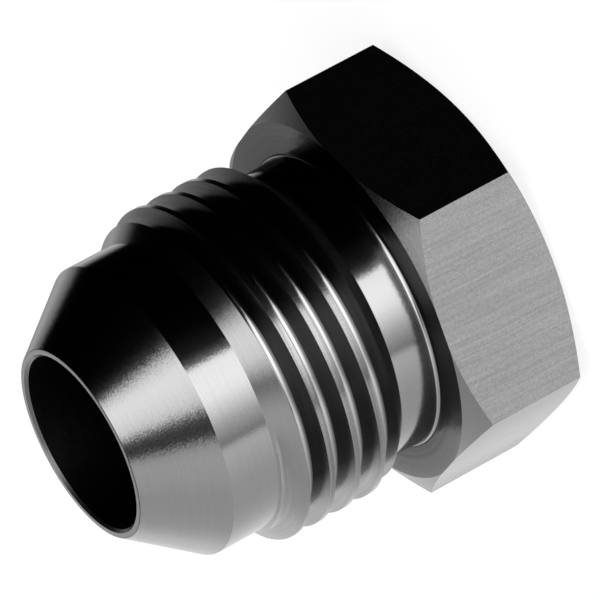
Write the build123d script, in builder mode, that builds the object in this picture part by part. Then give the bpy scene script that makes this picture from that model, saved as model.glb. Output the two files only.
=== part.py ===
"""Plug for a 37 degree flare tube end, turned in one piece from hexagon bar.

Millimetres. The axis is Z: the flat back of the head lies on Z = 0 and the nose points to +Z,
so the plug stands on its head. Two of the head's flats face +X and -X.
"""
from build123d import *
from math import ceil, cos, radians, tan
import os

# Hexagon head, for a 13/16 in spanner, with both faces turned down to a round land
head_sides = 6
head_across_flats = 20.6375
head_height = 7.5
front_chamfer_angle = 30.0
back_chamfer_angle = 25.0
front_land_overhang = 0.13
back_land_inset = 1.1

# Thread, 3/4 in with 16 turns to the inch, right hand
thread_pitch = 1.5875
thread_major_diameter = 18.92
thread_flank_angle = 30.0
thread_crest_width = 0.33
thread_root_width = 0.1
thread_chamfer_angle = 45.0
thread_start_angle = 23.7

# Shank: a relief next to the head, the thread, then a plain pilot, lengths from the head
shank_length = 16.86
relief_length = 2.37
relief_undercut = 0.1075
relief_fillet = 0.25
pilot_start = 10.18
pilot_undercut = 0.1125

# Nose: a conical seat that ends in a thin rim round a blind drilled bore
seat_half_angle = 37.0
bore_diameter = 10.0
bore_depth = 14.0
bore_mouth_chamfer = 0.16
drill_point_angle = 118.0
nose_rim_width = 0.29
nose_edge_round = 0.06

# How far the cutting tools run past the stock
chamfer_overrun = 0.5
groove_overrun = 0.15


def rise(run, angle_from_axis):
    """Length along the axis of a cone that steps out by run."""
    return run / tan(radians(angle_from_axis))


# Diameters that follow from the thread and the bore
groove_depth = rise((thread_pitch - thread_crest_width - thread_root_width) / 2, thread_flank_angle)
thread_root_diameter = thread_major_diameter - 2 * groove_depth
relief_diameter = thread_root_diameter - 2 * relief_undercut
pilot_diameter = thread_root_diameter - 2 * pilot_undercut
bore_mouth_diameter = bore_diameter + 2 * bore_mouth_chamfer
nose_diameter = bore_mouth_diameter + 2 * nose_rim_width

# Heights above the back of the head
relief_end_z = head_height + relief_length
thread_back_z = relief_end_z + rise((thread_major_diameter - relief_diameter) / 2, thread_chamfer_angle)
pilot_start_z = head_height + pilot_start
thread_front_z = pilot_start_z - rise((thread_major_diameter - pilot_diameter) / 2, thread_chamfer_angle)
nose_z = head_height + shank_length
seat_start_z = nose_z - rise((pilot_diameter - nose_diameter) / 2, seat_half_angle)
bore_floor_z = nose_z - bore_depth
drill_tip_z = bore_floor_z - rise(bore_diameter / 2, drill_point_angle / 2)

# The chamfer cones of the head reach past its corners
chamfer_reach = head_across_flats / 2 / cos(radians(180 / head_sides)) + chamfer_overrun
front_land_radius = (head_across_flats + front_land_overhang) / 2
back_land_radius = (head_across_flats - back_land_inset) / 2
front_chamfer_drop = (chamfer_reach - front_land_radius) * tan(radians(front_chamfer_angle))
back_chamfer_drop = (chamfer_reach - back_land_radius) * tan(radians(back_chamfer_angle))

# The thread groove runs from the middle of the relief to beyond the middle of the pilot
groove_start_z = head_height + relief_length / 2
groove_end_z = (pilot_start_z + seat_start_z) / 2
groove_turns = ceil((groove_end_z - groove_start_z) / thread_pitch)


def helix_turn(radius, start_z):
    """One turn of a helix round the axis, from this radius and height."""
    turn = Edge.make_helix(thread_pitch, thread_pitch, radius, center=(0, 0, start_z))
    return turn.rotate(Axis.Z, thread_start_angle)


def thread_groove():
    """The V groove of the thread as a solid, with faces ruled between the helices of its corners."""
    root_radius = thread_root_diameter / 2
    mouth_radius = thread_major_diameter / 2 + groove_overrun
    root_half_width = thread_root_width / 2
    mouth_half_width = root_half_width + (groove_depth + groove_overrun) * tan(radians(thread_flank_angle))
    corners = [
        (root_radius, -root_half_width),
        (mouth_radius, -mouth_half_width),
        (mouth_radius, mouth_half_width),
        (root_radius, root_half_width),
    ]
    turns = []
    for turn in range(groove_turns):
        turn_z = groove_start_z + turn * thread_pitch
        turns.append([helix_turn(radius, turn_z + offset) for radius, offset in corners])
    faces = []
    for helices in turns:
        for helix, next_helix in zip(helices, helices[1:] + helices[:1]):
            faces.append(Face.make_surface_from_curves(helix, next_helix))
    faces.append(Face(Wire.make_polygon([helix @ 0 for helix in turns[0]])))
    faces.append(Face(Wire.make_polygon([helix @ 1 for helix in turns[-1]])))
    return Solid(Shell(faces))


groove = thread_groove()

with BuildPart() as plug:
    # Hexagon bar
    with BuildSketch():
        RegularPolygon(
            head_across_flats / 2, head_sides, major_radius=False, rotation=180 / head_sides
        )
    extrude(amount=head_height)
    # Both faces of the head are chamfered by turning
    with BuildSketch(Plane.XZ):
        with BuildLine():
            Polyline(
                (0, 0),
                (back_land_radius, 0),
                (chamfer_reach, back_chamfer_drop),
                (chamfer_reach, head_height - front_chamfer_drop),
                (front_land_radius, head_height),
                (0, head_height),
                close=True,
            )
        make_face()
    revolve(axis=Axis.Z, mode=Mode.INTERSECT)
    # Turned shank: relief, blank for the thread, pilot and conical seat
    with BuildSketch(Plane.XZ):
        with BuildLine():
            Polyline(
                (0, head_height),
                (relief_diameter / 2, head_height),
                (relief_diameter / 2, relief_end_z),
                (thread_major_diameter / 2, thread_back_z),
                (thread_major_diameter / 2, thread_front_z),
                (pilot_diameter / 2, pilot_start_z),
                (pilot_diameter / 2, seat_start_z),
                (nose_diameter / 2, nose_z),
                (0, nose_z),
                close=True,
            )
        make_face()
    revolve(axis=Axis.Z)
    # Fillet in the corner between the head and the relief
    circles = plug.edges().filter_by(GeomType.CIRCLE)
    fillet(circles.filter_by_position(Axis.Z, head_height, head_height).sort_by(SortBy.RADIUS)[0], relief_fillet)
    # Blind bore with a drilled point and a small chamfer at its mouth
    with BuildSketch(Plane.XZ):
        with BuildLine():
            Polyline(
                (0, drill_tip_z),
                (bore_diameter / 2, bore_floor_z),
                (bore_diameter / 2, nose_z - bore_mouth_chamfer),
                (bore_mouth_diameter / 2, nose_z),
                (0, nose_z),
                close=True,
            )
        make_face()
    revolve(axis=Axis.Z, mode=Mode.SUBTRACT)
    # Small round on the outer edge of the nose
    circles = plug.edges().filter_by(GeomType.CIRCLE)
    fillet(circles.filter_by_position(Axis.Z, nose_z, nose_z).sort_by(SortBy.RADIUS)[-1], nose_edge_round)
    # Thread
    add(groove, mode=Mode.SUBTRACT)

plug.part.label = "flare_plug"

os.makedirs("parts", exist_ok=True)
export_step(plug.part, "parts/flare_plug.step")
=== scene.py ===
from math import cos, hypot, pi, radians, sin, tan

import bpy
from mathutils import Matrix, Vector


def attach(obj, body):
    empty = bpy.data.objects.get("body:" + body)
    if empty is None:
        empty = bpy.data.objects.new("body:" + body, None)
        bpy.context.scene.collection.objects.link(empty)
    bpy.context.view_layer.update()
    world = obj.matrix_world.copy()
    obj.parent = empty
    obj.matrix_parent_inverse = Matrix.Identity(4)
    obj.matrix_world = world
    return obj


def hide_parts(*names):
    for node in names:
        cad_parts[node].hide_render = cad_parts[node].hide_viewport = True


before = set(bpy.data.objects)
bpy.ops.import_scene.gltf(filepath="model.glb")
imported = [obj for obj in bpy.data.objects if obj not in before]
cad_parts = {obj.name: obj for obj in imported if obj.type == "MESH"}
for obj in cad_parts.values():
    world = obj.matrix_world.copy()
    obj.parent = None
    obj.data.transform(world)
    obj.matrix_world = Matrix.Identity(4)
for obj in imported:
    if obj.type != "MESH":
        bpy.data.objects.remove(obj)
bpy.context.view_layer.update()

scene = bpy.context.scene

# Sizes of the plug in millimetres, as in the part's source. Only the flanks and the rounded root of
# the threading tool and the relief's fillet and flare differ from it, and follow the photograph
MM = 0.001
MICRON = MM / 1000
HEAD_SIDES = 6
HEAD_ACROSS_FLATS = 20.6375
HEAD_CORNER_RADIUS = HEAD_ACROSS_FLATS / 2 / cos(radians(180 / HEAD_SIDES))
HEAD_HEIGHT = 7.5
FRONT_CHAMFER_ANGLE = 30
BACK_CHAMFER_ANGLE = 25
FRONT_LAND_RADIUS = 10.384
BACK_LAND_RADIUS = 9.769
THREAD_PITCH = 1.5875
THREAD_MAJOR_RADIUS = 9.46
THREAD_CREST_WIDTH = 0.33
THREAD_ROOT_RADIUS = 8.458
THREAD_FRONT_FLANK = 30.5
THREAD_BACK_FLANK = 24
THREAD_FRONT_ROOT_RUN = 0.2
THREAD_BACK_ROOT_RUN = 0.02
GROOVE_MOUTH_Z = 9.2142
GROOVE_TURNS = 7
RELIEF_RADIUS = 8.35
RELIEF_FILLET = 0.22
RELIEF_FLARE = 0.04
RELIEF_FLARE_TOP_Z = 8.9
RELIEF_END_Z = 9.87
THREAD_BACK_Z = 10.98
THREAD_FRONT_Z = 16.565
PILOT_RADIUS = 8.345
PILOT_START_Z = 17.68
SEAT_START_Z = 20.518
SEAT_ANGLE = 37
NOSE_RADIUS = 5.45
NOSE_EDGE_ROUND = 0.06
NOSE_Z = 24.36
BORE_RADIUS = 5.0
BORE_MOUTH_RADIUS = 5.16
BORE_MOUTH_CHAMFER = 0.16
BORE_FLOOR_Z = 10.36
DRILL_TIP_Z = 7.356

# Facets round the plug, and steps in its small rounds
TURNING_STEPS = 192
FILLET_STEPS = 6
FLARE_STEPS = 8
NOSE_ROUND_STEPS = 3
THREAD_FRONT_ROOT_STEPS = 8
THREAD_BACK_ROOT_STEPS = 3

# How far the cutting tools run past the stock, and the strip of face next to the relief's fillet
CHAMFER_OVERRUN = 0.5
GROOVE_OVERRUN = 0.15
FILLET_MARGIN = 0.05

# The hexagon bar is longer than the plug at both ends
BAR_LENGTH = 40
BAR_MIDDLE_Z = 12

# Points nearer than this are one, in metres, and edges flatter than this are smooth, in degrees
WELD_DISTANCE = 0.5e-6
SMOOTH_ANGLE = 25

# How much a face's normal points along the axis, or outwards for a crest, where that tells its
# surface. The 45 degree cones lie between the low and the high value, the front flanks above
WALL_AXIAL = 0.1
CONE_AXIAL_LOW, CONE_AXIAL_HIGH = 0.6, 0.8
FILLET_AXIAL = 0.85
MOUTH_AXIAL = 0.9
FACE_AXIAL = 0.99
CREST_OUTWARD = 0.95

# How near a face has to lie to its surface, and how far the run-out reaches below the full thread
LEVEL_SLACK = 0.001
SURFACE_SLACK = 0.01
CREST_SLACK = 0.02
THREAD_RUN_OUT = 1.2

# The radius at which the length of tool marks is measured
MARK_RADIUS = 9.0

# How far the streaks on the flats wander, in millimetres, on what scale, and what sets flats apart
STREAK_WANDER = 0.4
WANDER_SCALE = 0.15
FLATS_APART = (31.0, 47.0, 0.0)

# The noise values that a finish spreads over its range, how much of its mottle comes from lines and
# not from grain, and how far its roughness varies
NOISE_SPAN = (0.3, 0.7)
LINE_SHARE = 0.65
ROUGHNESS_SPREAD = 0.12

# Lean and bow of the two flats across X, in thousandths of a millimetre for each millimetre, and
# for each millimetre squared
FLAT_LEAN = 35.0
FLAT_BOW = -10.0

# Where the painted light and shade fades meet, the shine is never more than this many times its
# plain value
MOST_SHARE = 5.0

# The floor: its side in metres, its tone, its own glow, and the share of glow in the whole
FLOOR_SIDE = 4
FLOOR_TONE = 0.9
FLOOR_GLOW = 1.03
FLOOR_GLOW_SHARE = 0.8


def camera_side():
    """The photograph's camera: where it stands, what it looks at and how far it is rolled."""
    azimuth, elevation, roll = radians(-99.128), radians(22.186), radians(-118.28)
    distance = 405.05
    aim = Vector((1.2825, 0.5530, 9.4290))
    turn = Matrix.Rotation(azimuth + pi / 2, 4, "Z") @ Matrix.Rotation(pi / 2 - elevation, 4, "X")
    back = turn @ Vector((0, 0, 1))
    lens = bpy.data.cameras.new("photo_camera")
    lens.lens = 462.9
    lens.sensor_width = 36
    lens.clip_start = 0.01
    lens.clip_end = 20
    camera = bpy.data.objects.new("photo_camera", lens)
    scene.collection.objects.link(camera)
    place = (aim + back * distance) * MM
    camera.matrix_world = Matrix.Translation(place) @ turn @ Matrix.Rotation(roll, 4, "Z")
    scene.camera = camera


def lathe_stations():
    """Radius and height of each corner of the turned form, from the back to the drill's tip."""
    reach = HEAD_CORNER_RADIUS + CHAMFER_OVERRUN
    stations = [
        (BACK_LAND_RADIUS, 0),
        (reach, (reach - BACK_LAND_RADIUS) * tan(radians(BACK_CHAMFER_ANGLE))),
        (reach, HEAD_HEIGHT - (reach - FRONT_LAND_RADIUS) * tan(radians(FRONT_CHAMFER_ANGLE))),
        (FRONT_LAND_RADIUS, HEAD_HEIGHT),
    ]
    fillet_radius = RELIEF_RADIUS + RELIEF_FLARE
    fillet_z = HEAD_HEIGHT + RELIEF_FILLET
    stations.append((fillet_radius + RELIEF_FILLET + FILLET_MARGIN, HEAD_HEIGHT))
    for step in range(FILLET_STEPS + 1):
        angle = step / FILLET_STEPS * pi / 2
        stations.append((
            fillet_radius + RELIEF_FILLET * (1 - sin(angle)),
            HEAD_HEIGHT + RELIEF_FILLET * (1 - cos(angle)),
        ))
    for step in range(1, FLARE_STEPS + 1):
        share = step / FLARE_STEPS
        stations.append((
            RELIEF_RADIUS + RELIEF_FLARE * (1 - share) ** 2,
            fillet_z + (RELIEF_FLARE_TOP_Z - fillet_z) * share,
        ))
    stations += [
        (RELIEF_RADIUS, RELIEF_END_Z),
        (THREAD_MAJOR_RADIUS, THREAD_BACK_Z),
        (THREAD_MAJOR_RADIUS, THREAD_FRONT_Z),
        (PILOT_RADIUS, PILOT_START_Z),
        (PILOT_RADIUS, SEAT_START_Z),
    ]
    seat_slope = radians(SEAT_ANGLE)
    cut_back = NOSE_EDGE_ROUND * tan((pi / 2 - seat_slope) / 2)
    centre = (NOSE_RADIUS - cut_back, NOSE_Z - NOSE_EDGE_ROUND)
    for step in range(NOSE_ROUND_STEPS + 1):
        angle = seat_slope + step / NOSE_ROUND_STEPS * (pi / 2 - seat_slope)
        stations.append((
            centre[0] + NOSE_EDGE_ROUND * cos(angle),
            centre[1] + NOSE_EDGE_ROUND * sin(angle),
        ))
    stations += [
        (BORE_MOUTH_RADIUS, NOSE_Z),
        (BORE_RADIUS, NOSE_Z - BORE_MOUTH_CHAMFER),
        (BORE_RADIUS, BORE_FLOOR_Z),
        (BORE_RADIUS, DRILL_TIP_Z),
    ]
    return stations


def clean_mesh():
    """Merges doubles and turns the faces outwards, in edit mode."""
    bpy.ops.mesh.select_all(action="SELECT")
    bpy.ops.mesh.remove_doubles(threshold=WELD_DISTANCE)
    bpy.ops.mesh.normals_make_consistent(inside=False)


def turned_blank():
    """The turned form: a disc whose rim is drawn by stations, up the outside and down the bore."""
    stations = [(radius * MM, height * MM) for radius, height in lathe_stations()]
    radius, height = stations[0]
    bpy.ops.object.select_all(action="DESELECT")
    bpy.ops.mesh.primitive_circle_add(
        vertices=TURNING_STEPS, radius=radius, fill_type="NGON"
    )
    blank = bpy.context.object
    blank.name = "plug_finish"
    bpy.ops.object.mode_set(mode="EDIT")
    bpy.ops.mesh.select_mode(type="FACE")
    bpy.ops.mesh.select_all(action="SELECT")
    for next_radius, next_height in stations[1:]:
        rise = (0, 0, next_height - height)
        bpy.ops.mesh.extrude_region_move(TRANSFORM_OT_translate={"value": rise})
        ratio = next_radius / radius
        bpy.ops.transform.resize(value=(ratio, ratio, 1), center_override=(0, 0, 0))
        radius, height = next_radius, next_height
    bpy.ops.mesh.merge(type="CENTER")
    clean_mesh()
    bpy.ops.object.mode_set(mode="OBJECT")
    return blank


def hexagon_bar():
    """The bar that the plug is turned from, longer than the plug at both ends."""
    bpy.ops.object.select_all(action="DESELECT")
    bpy.ops.mesh.primitive_cylinder_add(
        vertices=HEAD_SIDES,
        radius=HEAD_CORNER_RADIUS * MM,
        depth=BAR_LENGTH * MM,
        location=(0, 0, BAR_MIDDLE_Z * MM),
    )
    bar = bpy.context.object
    bpy.ops.object.transform_apply(location=True, rotation=True, scale=True)
    return bar


def threading_tool():
    """The V of the threading tool, with a rounded tip, carried along the groove's helix."""
    depth = THREAD_MAJOR_RADIUS - THREAD_ROOT_RADIUS
    reach = depth + GROOVE_OVERRUN
    mouth_width = THREAD_PITCH - THREAD_CREST_WIDTH
    front_run = depth * tan(radians(THREAD_FRONT_FLANK))
    back_run = depth * tan(radians(THREAD_BACK_FLANK))
    root_width = mouth_width - front_run - back_run
    root_z = GROOVE_MOUTH_Z - back_run - root_width / 2
    bpy.ops.object.select_all(action="DESELECT")
    bpy.ops.mesh.primitive_plane_add(
        size=1,
        location=((THREAD_ROOT_RADIUS + reach / 2) * MM, 0, root_z * MM),
        rotation=(pi / 2, 0, 0),
    )
    tool = bpy.context.object
    tool.scale = (reach * MM, root_width * MM, 1)
    bpy.ops.object.transform_apply(location=True, rotation=True, scale=True)

    def pick_corner(at_mouth, at_back):
        bpy.ops.object.mode_set(mode="EDIT")
        bpy.ops.mesh.select_mode(type="VERT")
        bpy.ops.mesh.select_all(action="DESELECT")
        bpy.ops.object.mode_set(mode="OBJECT")
        for corner in tool.data.vertices:
            mouth = corner.co.x > THREAD_MAJOR_RADIUS * MM
            back = corner.co.z > root_z * MM
            corner.select = mouth == at_mouth and back == at_back
        bpy.ops.object.mode_set(mode="EDIT")

    def round_corner(run, steps):
        bpy.ops.mesh.bevel(
            offset=run * MM, offset_type="OFFSET", segments=steps, affect="VERTICES"
        )

    pick_corner(True, True)
    bpy.ops.transform.translate(value=(0, 0, reach * MM * tan(radians(THREAD_BACK_FLANK))))
    pick_corner(True, False)
    bpy.ops.transform.translate(value=(0, 0, -reach * MM * tan(radians(THREAD_FRONT_FLANK))))
    pick_corner(False, True)
    round_corner(THREAD_BACK_ROOT_RUN, THREAD_BACK_ROOT_STEPS)
    pick_corner(False, False)
    round_corner(THREAD_FRONT_ROOT_RUN, THREAD_FRONT_ROOT_STEPS)
    bpy.ops.mesh.select_all(action="SELECT")
    bpy.ops.mesh.delete(type="ONLY_FACE")
    bpy.ops.object.mode_set(mode="OBJECT")
    helix = tool.modifiers.new("helix", "SCREW")
    helix.axis = "Z"
    helix.screw_offset = THREAD_PITCH * MM
    helix.iterations = GROOVE_TURNS
    helix.steps = TURNING_STEPS
    helix.render_steps = TURNING_STEPS
    bpy.ops.object.modifier_apply(modifier="helix")
    bpy.ops.object.mode_set(mode="EDIT")
    bpy.ops.mesh.select_all(action="SELECT")
    bpy.ops.mesh.fill_holes(sides=0)
    clean_mesh()
    bpy.ops.object.mode_set(mode="OBJECT")
    return tool


def cut(piece, tool, operation):
    """Applies a boolean between a piece and a tool, and clears the tool away."""
    modifier = piece.modifiers.new("cut", "BOOLEAN")
    modifier.operation = operation
    modifier.solver = "EXACT"
    modifier.object = tool
    bpy.ops.object.select_all(action="DESELECT")
    piece.select_set(True)
    bpy.context.view_layer.objects.active = piece
    bpy.ops.object.modifier_apply(modifier="cut")
    bpy.data.objects.remove(tool)


def plug_shape():
    """The whole plug: turned from hexagon bar, then threaded."""
    plug = turned_blank()
    cut(plug, hexagon_bar(), "INTERSECT")
    cut(plug, threading_tool(), "DIFFERENCE")
    bpy.ops.object.mode_set(mode="EDIT")
    clean_mesh()
    bpy.ops.object.mode_set(mode="OBJECT")
    bpy.ops.object.shade_smooth_by_angle(angle=radians(SMOOTH_ANGLE))
    plug.modifiers.new("even_normals", "WEIGHTED_NORMAL").keep_sharp = True
    bpy.ops.object.modifier_apply(modifier="even_normals")
    return plug


def new_group(name, inputs, outputs):
    """A node group with number inputs at their usual values, and these outputs."""
    group = bpy.data.node_groups.new(name, "ShaderNodeTree")
    for label, value in inputs:
        socket = group.interface.new_socket(
            name=label, in_out="INPUT", socket_type="NodeSocketFloat"
        )
        socket.default_value = value
    for label, kind in outputs:
        group.interface.new_socket(name=label, in_out="OUTPUT", socket_type=kind)
    given = group.nodes.new("NodeGroupInput").outputs
    out = group.nodes.new("NodeGroupOutput").inputs
    return group, given, out


def reckon(tree, operation, first, second=None, third=None):
    """A Math node on values or sockets."""
    node = tree.nodes.new("ShaderNodeMath")
    node.operation = operation
    for number, value in enumerate((first, second, third)):
        if value is None:
            continue
        if isinstance(value, (int, float)):
            node.inputs[number].default_value = value
        else:
            tree.links.new(value, node.inputs[number])
    return node.outputs[0]


def reckon_vector(tree, operation, first, second=None, scale=None):
    """A Vector Math node on sockets or plain vectors."""
    node = tree.nodes.new("ShaderNodeVectorMath")
    node.operation = operation
    for number, value in enumerate((first, second)):
        if value is None:
            continue
        if isinstance(value, tuple):
            node.inputs[number].default_value = value
        else:
            tree.links.new(value, node.inputs[number])
    if isinstance(scale, (int, float)):
        node.inputs["Scale"].default_value = scale
    elif scale is not None:
        tree.links.new(scale, node.inputs["Scale"])
    gives_number = operation in ("LENGTH", "DOT_PRODUCT")
    return node.outputs["Value" if gives_number else "Vector"]


def noise_of(tree, place, detail, roughness):
    """A Noise node that reads this place."""
    noise = tree.nodes.new("ShaderNodeTexNoise")
    noise.inputs["Scale"].default_value = 1
    noise.inputs["Detail"].default_value = detail
    noise.inputs["Roughness"].default_value = roughness
    tree.links.new(place, noise.inputs["Vector"])
    return noise.outputs[0]


def millimetre_place(tree):
    """The point on the plug in millimetres."""
    point = tree.nodes.new("ShaderNodeTexCoord").outputs["Object"]
    return reckon_vector(tree, "SCALE", point, scale=1 / MM)


def sized_place(tree, size):
    """The point on the plug, counted in sizes of a grain or facet."""
    fineness = reckon(tree, "DIVIDE", 1.0, size)
    return reckon_vector(tree, "SCALE", millimetre_place(tree), scale=fineness)


def etched_grain():
    """Node group: the fine grain of the etch before anodising."""
    group, given, out = new_group("etched_grain", [("Size", 0.12)], [("Grain", "NodeSocketFloat")])
    grain = noise_of(group, sized_place(group, given["Size"]), 2, 0.6)
    group.links.new(grain, out["Grain"])
    return group


def etched_facets():
    """Node group: tiny etched facets that each lean their own way."""
    group, given, out = new_group(
        "etched_facets", [("Size", 0.045), ("Lean", 0.04)], [("Lean", "NodeSocketVector")]
    )
    cells = group.nodes.new("ShaderNodeTexVoronoi")
    cells.inputs["Scale"].default_value = 1
    group.links.new(sized_place(group, given["Size"]), cells.inputs["Vector"])
    either_way = reckon_vector(group, "SUBTRACT", cells.outputs["Color"], (0.5, 0.5, 0.5))
    group.links.new(reckon_vector(group, "SCALE", either_way, scale=given["Lean"]), out["Lean"])
    return group


def tool_marks():
    """Node group: lines that the turning tool leaves round the plug.

    Across Face is 1 on faces, where the tool moves inwards, and 0 where it moves along the shank.
    """
    group, given, out = new_group(
        "tool_marks",
        [("Across Face", 0.0), ("Spacing", 0.1), ("Length", 8.0)],
        [("Marks", "NodeSocketFloat")],
    )
    place = millimetre_place(group)
    across = reckon_vector(group, "MULTIPLY", place, (1, 1, 0))
    height = reckon_vector(group, "DOT_PRODUCT", place, (0, 0, 1))
    radius = reckon_vector(group, "LENGTH", across)
    height_to_radius = reckon(group, "SUBTRACT", radius, height)
    travel = reckon(group, "MULTIPLY_ADD", given["Across Face"], height_to_radius, height)
    outward = reckon_vector(group, "NORMALIZE", across)
    lengths_round = reckon(group, "DIVIDE", MARK_RADIUS, given["Length"])
    around = reckon_vector(group, "SCALE", outward, scale=lengths_round)
    lines_along = reckon(group, "DIVIDE", travel, given["Spacing"])
    feed = reckon_vector(group, "SCALE", (0, 0, 1), scale=lines_along)
    marks = noise_of(group, reckon_vector(group, "ADD", around, feed), 1, 0.5)
    group.links.new(marks, out["Marks"])
    return group


def drawn_streaks():
    """Node group: streaks that the drawing die leaves along the bar's flats, a little slanted."""
    group, given, out = new_group(
        "drawn_streaks",
        [("Slant", -3.0), ("Spacing", 0.11), ("Length", 3.0)],
        [("Streaks", "NodeSocketFloat")],
    )
    place = millimetre_place(group)
    facing = group.nodes.new("ShaderNodeTexCoord").outputs["Normal"]
    sideways = reckon_vector(group, "CROSS_PRODUCT", (0, 0, 1), facing)
    height = reckon_vector(group, "DOT_PRODUCT", place, (0, 0, 1))
    slope = reckon(group, "TANGENT", reckon(group, "RADIANS", given["Slant"]))
    across = reckon_vector(group, "DOT_PRODUCT", place, sideways)
    across = reckon(group, "MULTIPLY_ADD", height, slope, across)
    wander = noise_of(group, reckon_vector(group, "SCALE", place, scale=WANDER_SCALE), 1, 0.5)
    across = reckon(group, "MULTIPLY_ADD", wander, STREAK_WANDER, across)
    flat_number = reckon_vector(group, "DOT_PRODUCT", facing, FLATS_APART)

    def layer(wider, longer):
        spot = group.nodes.new("ShaderNodeCombineXYZ")
        width = reckon(group, "MULTIPLY", given["Spacing"], wider)
        length = reckon(group, "MULTIPLY", given["Length"], longer)
        group.links.new(reckon(group, "DIVIDE", across, width), spot.inputs[0])
        group.links.new(reckon(group, "DIVIDE", height, length), spot.inputs[1])
        group.links.new(flat_number, spot.inputs[2])
        return noise_of(group, spot.outputs[0], 1, 0.5)

    fine = reckon(group, "MULTIPLY", layer(1.0, 1.0), 0.25)
    long = reckon(group, "MULTIPLY_ADD", layer(1.5, 5.0), 0.5, fine)
    group.links.new(reckon(group, "MULTIPLY_ADD", layer(7.0, 1.5), 0.25, long), out["Streaks"])
    return group


GRAIN = etched_grain()
FACETS = etched_facets()
MARKS = tool_marks()
STREAKS = drawn_streaks()


def spread_over(tree, value, given, wanted):
    """A Map Range node that takes one range to another and stops at its ends."""
    node = tree.nodes.new("ShaderNodeMapRange")
    for label, number in zip(("From Min", "From Max", "To Min", "To Max"), given + wanted):
        node.inputs[label].default_value = number
    tree.links.new(value, node.inputs["Value"])
    return node.outputs[0]


def placed_group(tree, group, **values):
    """A group placed in a material with its own values."""
    node = tree.nodes.new("ShaderNodeGroup")
    node.node_tree = group
    for label, value in values.items():
        node.inputs[label.replace("_", " ")].default_value = value
    return node.outputs[0]


def anodised(
    name, shine, roughness, lines, line_depth, grain_depth,
    tone=0.05, grazing=1.0, lean=0.0, painted_light_fades=(), bowed=False,
):
    """Black anodised aluminium.

    Depths are in thousandths of a millimetre. Tone is how far its shine varies, grazing how much
    of it is left at a grazing angle, and lean how far the etched facets lean. A fade is painted
    light and shade: the shine is scaled by place along the way it runs, from the share at its start
    to the share at its end. Bowed is for the bar's flats: it leans the two flats across X as if
    they were slightly hollow, and leaves the rest, which lie outside its span.
    """
    material = bpy.data.materials.new(name)
    material.use_nodes = True
    tree = material.node_tree
    shader = tree.nodes["Principled BSDF"]
    shader.inputs["Metallic"].default_value = 1
    shader.inputs["Specular Tint"].default_value = (grazing, grazing, grazing, 1)
    group, values = lines
    line = placed_group(tree, group, **values)
    grain = placed_group(tree, GRAIN)
    mottle = reckon(tree, "MULTIPLY", grain, 1 - LINE_SHARE)
    mottle = reckon(tree, "MULTIPLY_ADD", line, LINE_SHARE, mottle)
    shades = tree.nodes.new("ShaderNodeValToRGB")
    for stop, place, level in zip(shades.color_ramp.elements, NOISE_SPAN, (1 - tone, 1 + tone)):
        stop.position = place
        stop.color = (shine * level, shine * level, shine * level, 1)
    tree.links.new(mottle, shades.inputs[0])
    share = 1.0
    # Painted light and shade: each fade scales the shine by place
    for way, start, end, start_share, end_share in painted_light_fades:
        if way == "outwards":
            across = reckon_vector(tree, "MULTIPLY", millimetre_place(tree), (1, 1, 0))
            reach = reckon_vector(tree, "LENGTH", across)
        else:
            reach = reckon_vector(tree, "DOT_PRODUCT", millimetre_place(tree), way)
        fade = spread_over(tree, reach, (start, end), (start_share, end_share))
        share = reckon(tree, "MULTIPLY", fade, share)
    share = reckon(tree, "MINIMUM", share, MOST_SHARE)
    shade = reckon_vector(tree, "SCALE", shades.outputs["Color"], scale=share)
    tree.links.new(shade, shader.inputs["Base Color"])
    smoothest, roughest = roughness * (1 - ROUGHNESS_SPREAD), roughness * (1 + ROUGHNESS_SPREAD)
    gloss = spread_over(tree, grain, NOISE_SPAN, (smoothest, roughest))
    tree.links.new(gloss, shader.inputs["Roughness"])
    relief = tree.nodes.new("ShaderNodeBump")
    relief.inputs["Distance"].default_value = MICRON
    depth = reckon(tree, "MULTIPLY", grain, grain_depth)
    depth = reckon(tree, "MULTIPLY_ADD", line, line_depth, depth)
    if bowed:
        half_flat = HEAD_ACROSS_FLATS / 2 * tan(radians(180 / HEAD_SIDES))
        span = (-half_flat, half_flat)
        along_y = reckon_vector(tree, "DOT_PRODUCT", millimetre_place(tree), (0, 1, 0))
        along_y = spread_over(tree, along_y, span, span)
        depth = reckon(tree, "MULTIPLY_ADD", along_y, FLAT_LEAN, depth)
        squared = reckon(tree, "MULTIPLY", along_y, along_y)
        depth = reckon(tree, "MULTIPLY_ADD", squared, FLAT_BOW, depth)
    tree.links.new(depth, relief.inputs["Height"])
    normal = relief.outputs["Normal"]
    if lean:
        leaning = reckon_vector(tree, "ADD", normal, placed_group(tree, FACETS, Lean=lean))
        normal = reckon_vector(tree, "NORMALIZE", leaning)
    tree.links.new(normal, shader.inputs["Normal"])
    return material


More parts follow.
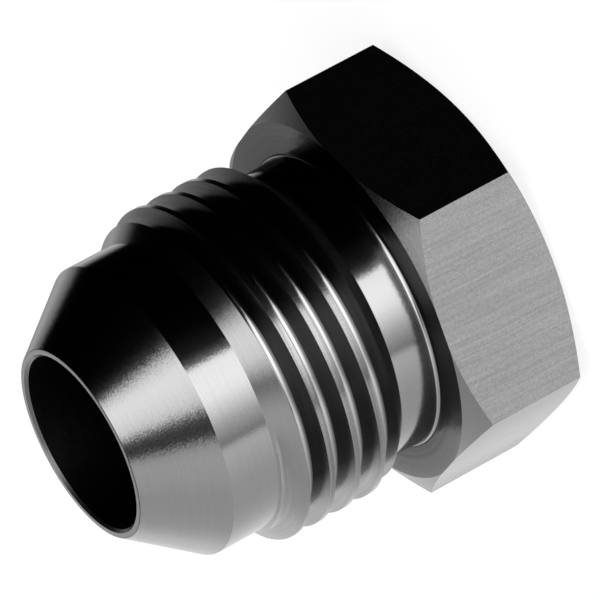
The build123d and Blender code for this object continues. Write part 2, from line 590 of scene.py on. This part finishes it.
def plug_materials_with_painted_shade():
    """Each surface of the plug with its own finish, by the tool that made it. The shines are
    painted light and shade: 0.2 is the plain shine, and the thread's flanks, the head's face, the
    nose's rim and the bore are darker, the thread's back cone and the bore's mouth lighter.
    """
    def turned(spacing, length, face=0.0):
        return MARKS, {"Across_Face": face, "Spacing": spacing, "Length": length}
    return {
        "shank": anodised(
            "turned_shank", 0.2, 0.12, turned(0.09, 8), 0.15, 1.0, tone=0.03, lean=0.02
        ),
        "crest": anodised("thread_crest", 0.155, 0.16, turned(0.11, 14), 1.2, 1.5, tone=0.25),
        # Painted shade and light: the flanks' shine is darkened to 0.04 as painted shade, then
        # raised up to five times towards the thread's front end and towards two sides as painted
        # reflection
        "flank": anodised(
            "cut_flank", 0.04, 0.2, turned(0.1, 6), 0.8, 1.5,
            tone=0.15, lean=0.04, painted_light_fades=[
                ((0, 0, 1), 16.2, 16.9, 1.0, 5.0),
                ((0.987, -0.159, 0), 7.2, 8.5, 1.0, 5.0),
                ((-0.987, 0.159, 0), 7.2, 8.5, 1.0, 5.0),
            ],
        ),
        "lead": anodised(
            "lead_chamfer", 0.2, 0.15, turned(0.09, 6), 0.15, 1.0, tone=0.03, lean=0.02
        ),
        "seat": anodised(
            "seat_cone", 0.2, 0.135, turned(0.08, 5), 0.15, 1.0, tone=0.03, lean=0.045
        ),
        # Painted shade and light: the face's shine is dark, halved towards the relief and darker
        # still towards one side, rising outwards and towards the other side
        "face": anodised(
            "head_face", 0.045, 0.15, turned(0.12, 16, 1.0), 1.5, 1.0,
            tone=0.22, grazing=0.6, lean=0.04, painted_light_fades=[
                ("outwards", 8.6, 10.4, 0.5, 1.25),
                ((-0.99, 0.15, 0), -10, 10, 0.28, 1.1),
            ],
        ),
        "chamfer": anodised(
            "head_chamfer", 0.18, 0.2, turned(0.12, 16, 1.0), 0.5, 1.0, tone=0.03, lean=0.03
        ),
        "flat": anodised(
            "drawn_flat", 0.217, 0.22,
            (STREAKS, {"Slant": -2.5, "Spacing": 0.11, "Length": 2.5}), 4.0, 1.0,
            tone=0.2, lean=0.02, bowed=True,
        ),
        # Painted light: the thread's back cone gets a lighter shine
        "thread_back": anodised("thread_back_cone", 0.3, 0.2, turned(0.1, 6), 0.3, 1.0),
        # Painted shade: the nose's rim gets a darker shine
        "rim": anodised("nose_rim", 0.03, 0.3, turned(0.06, 6, 1.0), 0.5, 1.5),
        # Painted light: the bore's mouth gets a lighter shine
        "mouth": anodised("bore_mouth", 0.1, 0.3, turned(0.06, 6, 1.0), 0.5, 1.5),
        # Painted shade: the bore's wall is nearly black, as the shade inside the hole
        "bore": anodised("bored_wall", 0.012, 0.4, turned(0.15, 3), 1.0, 4.0, tone=0.3),
    }


def surface_of(face):
    """Which surface of the plug a face belongs to, by its place and the way it faces.

    The head's back goes with its chamfer, and the thread's roots and rear flanks with the shank.
    """
    from_axis = hypot(face.center.x, face.center.y)
    radius, height = from_axis / MM, face.center.z / MM
    axial = face.normal.z
    outward = (face.normal.x * face.center.x + face.normal.y * face.center.y) / from_axis
    if radius < BORE_RADIUS + SURFACE_SLACK and height > DRILL_TIP_Z:
        if outward < WALL_AXIAL or height < BORE_FLOOR_Z:
            return "bore"
    if radius < BORE_MOUTH_RADIUS and height > HEAD_HEIGHT and axial < MOUTH_AXIAL:
        return "mouth"
    if radius < BORE_MOUTH_RADIUS or height > NOSE_Z - NOSE_EDGE_ROUND:
        return "rim" if height > HEAD_HEIGHT else "chamfer"
    if height > SEAT_START_Z:
        return "seat"
    if height < HEAD_HEIGHT + LEVEL_SLACK:
        if abs(axial) < WALL_AXIAL:
            return "flat"
        return "face" if axial > FACE_AXIAL else "chamfer"
    # Painted shade: the relief fillet's steepest faces take the head face's dark shine
    if height < HEAD_HEIGHT + RELIEF_FILLET and axial > FILLET_AXIAL:
        return "face"
    if RELIEF_END_Z < height < THREAD_BACK_Z and CONE_AXIAL_LOW < -axial < CONE_AXIAL_HIGH:
        return "thread_back"
    if height < THREAD_BACK_Z - THREAD_RUN_OUT or height > PILOT_START_Z:
        return "shank"
    lead_radius = THREAD_MAJOR_RADIUS - (height - THREAD_FRONT_Z)
    on_lead = height > THREAD_FRONT_Z and abs(radius - lead_radius) < SURFACE_SLACK
    if on_lead and CONE_AXIAL_LOW < axial < CONE_AXIAL_HIGH:
        return "lead"
    if axial > CONE_AXIAL_HIGH:
        return "flank"
    if radius > THREAD_MAJOR_RADIUS - CREST_SLACK and outward > CREST_OUTWARD:
        return "crest"
    return "shank"


def floor():
    """Pale floor under the plug, seen by the camera alone."""
    bpy.ops.object.select_all(action="DESELECT")
    bpy.ops.mesh.primitive_plane_add(size=FLOOR_SIDE)
    ground = bpy.context.object
    ground.name = "floor"
    material = bpy.data.materials.new("floor_white")
    material.use_nodes = True
    nodes, links = material.node_tree.nodes, material.node_tree.links
    shader = nodes["Principled BSDF"]
    shader.inputs["Base Color"].default_value = (FLOOR_TONE, FLOOR_TONE, FLOOR_TONE, 1)
    shader.inputs["Roughness"].default_value = 1
    glow = nodes.new("ShaderNodeEmission")
    glow.inputs["Strength"].default_value = FLOOR_GLOW
    mix = nodes.new("ShaderNodeMixShader")
    mix.inputs[0].default_value = FLOOR_GLOW_SHARE
    links.new(shader.outputs[0], mix.inputs[1])
    links.new(glow.outputs[0], mix.inputs[2])
    links.new(mix.outputs[0], nodes["Material Output"].inputs["Surface"])
    ground.data.materials.append(material)
    ground.visible_glossy = False
    ground.visible_diffuse = False
    ground.visible_transmission = False
    ground.visible_shadow = False


# In degrees, the studio's upright leans from the plug's axis by this angle, towards this azimuth,
# and its front is the camera's side
STUDIO_LEAN = 13.05
STUDIO_LEAN_AZIMUTH = 39.73
STUDIO_FRONT_AZIMUTH = -99.13

# The studio, as the plug sees it, ring by ring from below to overhead: the ring's height in degrees
# and its stops. They go round from behind on the plug's left to behind on its right: angle from the
# camera's side in degrees, and light level, where 1 is white
STUDIO_RINGS = [
    (-75, "under the plug", [
        (-180, 1.0), (180, 1.0),
    ]),
    (-52, "table ring", [
        (-180, 1.0), (-110, 1.2), (-89, 1.3), (-68, 2.6), (-44, 2.8), (-18, 4.7), (8, 5.0),
        (20, 4.0), (31, 0.4), (45, 0.0), (142, 0.0), (160, 0.2), (174, 0.22), (180, 0.6),
    ]),
    (-34, "low ring", [
        (-180, 0.6), (-172, 1.1), (-160, 1.2), (-145, 1.3), (-110, 1.2), (-90, 1.3), (-60, 1.8),
        (-55, 1.6), (-53, 0.6), (-49, 0.85), (-35, 1.65), (-25, 2.7), (-14, 3.8), (-4, 4.1),
        (13.5, 3.9), (15, 0.0), (142, 0.0), (155, 0.3), (174, 0.22), (180, 0.6),
    ]),
    (-8, "level ring", [
        (-180, 0.7), (-172, 1.0), (-148, 1.35), (-118, 1.35), (-99, 1.7), (-79, 2.1),
        (-60, 2.9), (-41, 2.6), (-30, 3.6), (-20, 5.0), (10, 5.0), (18, 2.0), (22, 0.1),
        (40, 0.0), (143, 0.0), (150, 0.5), (159, 0.8), (166, 0.5), (174, 0.3), (180, 0.7),
    ]),
    (13, "eye ring", [
        (-180, 0.6), (-165, 1.1), (-148, 1.5), (-125, 1.25), (-90, 1.3), (-62, 2.2), (-50, 1.5),
        (-40, 1.2), (-28, 3.2), (-12, 5.0), (5, 5.0), (15, 4.5), (19, 0.2), (40, 0.0),
        (139, 0.0), (146, 0.48), (158, 0.75), (165, 0.5), (174, 0.4), (180, 0.6),
    ]),
    (33, "raised ring", [
        (-180, 3.2), (-168, 2.6), (-160, 1.4), (-150, 1.9), (-135, 1.25), (-110, 1.1),
        (-90, 1.2), (-62, 1.45), (-53, 1.3), (-47, 0.05), (-31, 0.05), (-25, 2.6), (-10, 3.4),
        (5, 3.9), (18, 3.6), (25, 0.1), (40, 0.0), (139, 0.0), (147, 0.35), (157, 0.45),
        (166, 0.45), (173, 1.6), (180, 3.2),
    ]),
    (54, "high ring", [
        (-180, 0.6), (-150, 1.0), (-100, 1.0), (-60, 1.45), (-50, 1.15), (-39, 0.45),
        (-31, 1.7), (-20, 3.1), (-3, 3.5), (8, 3.3), (20, 1.6), (28, 0.1), (38, 0.0),
        (134, 0.0), (143, 0.25), (160, 0.25), (180, 0.6),
    ]),
    (78, "overhead ring", [
        (-180, 0.5), (-120, 0.8), (-90, 1.6), (-50, 2.2), (-15, 2.2), (5, 1.7), (20, 0.5),
        (34, 0.1), (60, 0.0), (135, 0.0), (150, 0.1), (180, 0.5),
    ]),
]
BRIGHTEST = 5.0


def round_the_studio(nodes, links, bearing, stops, label):
    """A ring of light levels round the plug."""
    ring = nodes.new("ShaderNodeValToRGB")
    ring.label = label
    ramp = ring.color_ramp
    while len(ramp.elements) > 1:
        ramp.elements.remove(ramp.elements[-1])
    for number, (angle, level) in enumerate(stops):
        place = (angle + 180) / 360
        stop = ramp.elements[0] if number == 0 else ramp.elements.new(place)
        stop.position = place
        grey = level / BRIGHTEST
        stop.color = (grey, grey, grey, 1)
    links.new(bearing, ring.inputs[0])
    return ring.outputs["Color"]


def studio():
    """World: white table on the left, soft box in front, black cards on the right.

    The camera itself sees a plain white backdrop.
    """
    world = bpy.data.worlds.new("studio")
    scene.world = world
    world.use_nodes = True
    nodes, links = world.node_tree.nodes, world.node_tree.links
    background = nodes["Background"]
    lean, facing = radians(STUDIO_LEAN), radians(STUDIO_FRONT_AZIMUTH)
    up = Matrix.Rotation(radians(STUDIO_LEAN_AZIMUTH), 3, "Z") @ Vector((sin(lean), 0, cos(lean)))
    front = Vector((cos(facing), sin(facing), 0))
    front = (front - up * front.dot(up)).normalized()
    side = up.cross(front)
    direction = nodes.new("ShaderNodeTexCoord").outputs["Generated"]

    def along(axis):
        dot = nodes.new("ShaderNodeVectorMath")
        dot.operation = "DOT_PRODUCT"
        links.new(direction, dot.inputs[0])
        dot.inputs[1].default_value = axis
        return dot.outputs["Value"]

    bearing = nodes.new("ShaderNodeMath")
    bearing.operation = "ARCTAN2"
    links.new(along(side), bearing.inputs[0])
    links.new(along(front), bearing.inputs[1])
    place = nodes.new("ShaderNodeMapRange")
    place.inputs["From Min"].default_value = -pi
    place.inputs["From Max"].default_value = pi
    links.new(bearing.outputs[0], place.inputs["Value"])
    height = nodes.new("ShaderNodeMath")
    height.operation = "ARCSINE"
    links.new(along(up), height.inputs[0])
    light = below = None
    for elevation, label, stops in STUDIO_RINGS:
        ring = round_the_studio(nodes, links, place.outputs[0], stops, label)
        if light is None:
            light = ring
        else:
            step = nodes.new("ShaderNodeMapRange")
            step.interpolation_type = "SMOOTHSTEP"
            step.inputs["From Min"].default_value = radians(below)
            step.inputs["From Max"].default_value = radians(elevation)
            links.new(height.outputs[0], step.inputs["Value"])
            blend = nodes.new("ShaderNodeMix")
            blend.data_type = "RGBA"
            colours = [socket for socket in blend.inputs if socket.type == "RGBA"]
            links.new(step.outputs[0], blend.inputs["Factor"])
            links.new(light, colours[0])
            links.new(ring, colours[1])
            light = [socket for socket in blend.outputs if socket.type == "RGBA"][0]
        below = elevation
    links.new(light, background.inputs["Color"])
    background.inputs["Strength"].default_value = BRIGHTEST
    backdrop = nodes.new("ShaderNodeBackground")
    backdrop.inputs["Color"].default_value = (1, 1, 1, 1)
    sight = nodes.new("ShaderNodeLightPath")
    mix = nodes.new("ShaderNodeMixShader")
    links.new(sight.outputs["Is Camera Ray"], mix.inputs[0])
    links.new(background.outputs[0], mix.inputs[1])
    links.new(backdrop.outputs[0], mix.inputs[2])
    links.new(mix.outputs[0], nodes["World Output"].inputs["Surface"])


scene.view_settings.view_transform = "Standard"
camera_side()
studio()
floor()
plug = plug_shape()
plug.data.materials.clear()
# Materials per surface, whose shines carry painted light and shade
finish_and_shade_by_surface = plug_materials_with_painted_shade()
for material in finish_and_shade_by_surface.values():
    plug.data.materials.append(material)
surfaces = list(finish_and_shade_by_surface)
for face in plug.data.polygons:
    face.material_index = surfaces.index(surface_of(face))
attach(plug, "root")
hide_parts("flare_plug")
